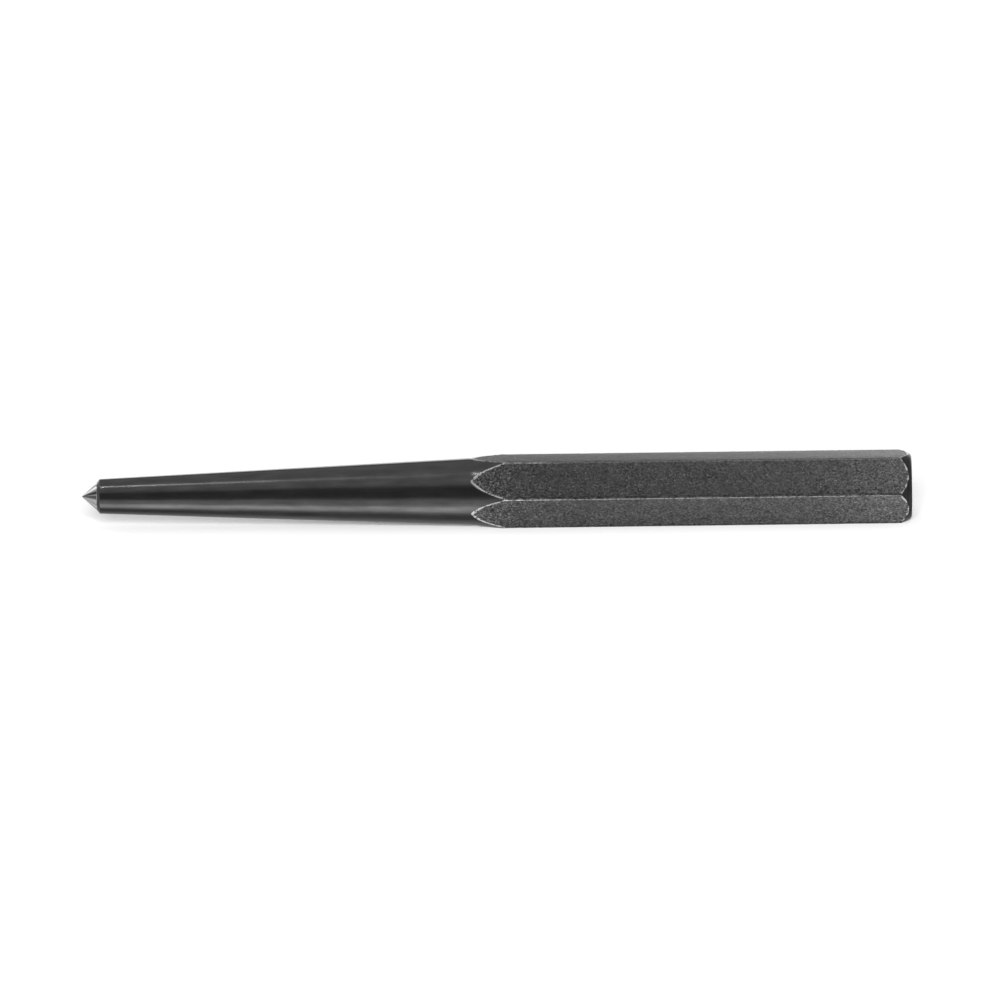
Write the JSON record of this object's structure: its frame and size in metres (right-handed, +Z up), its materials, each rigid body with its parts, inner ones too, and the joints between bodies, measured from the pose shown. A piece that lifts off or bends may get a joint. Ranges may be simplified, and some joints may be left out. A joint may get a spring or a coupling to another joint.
{
  "type": "center punch",
  "caption": "Hexagonal steel center punch: a tapered round shank with a ground conical point for marking holes, and a chamfered striking face.",
  "frame": {"origin": "centre of the length and width, on the flat that the punch lies on", "axes": "+X along the tool's axis towards the striking face, so the point is at -X; +Z up from the flat it lies on; +Y across"},
  "size_m": [0.1174, 0.011, 0.0095],
  "materials": {
    "black_steel": "black oxide over tool steel, rough rolled flats, satin ground shank, bare ground point"
  },
  "bodies": {
    "root": {"center_punch": "black_steel"}
  },
  "joints": []
}
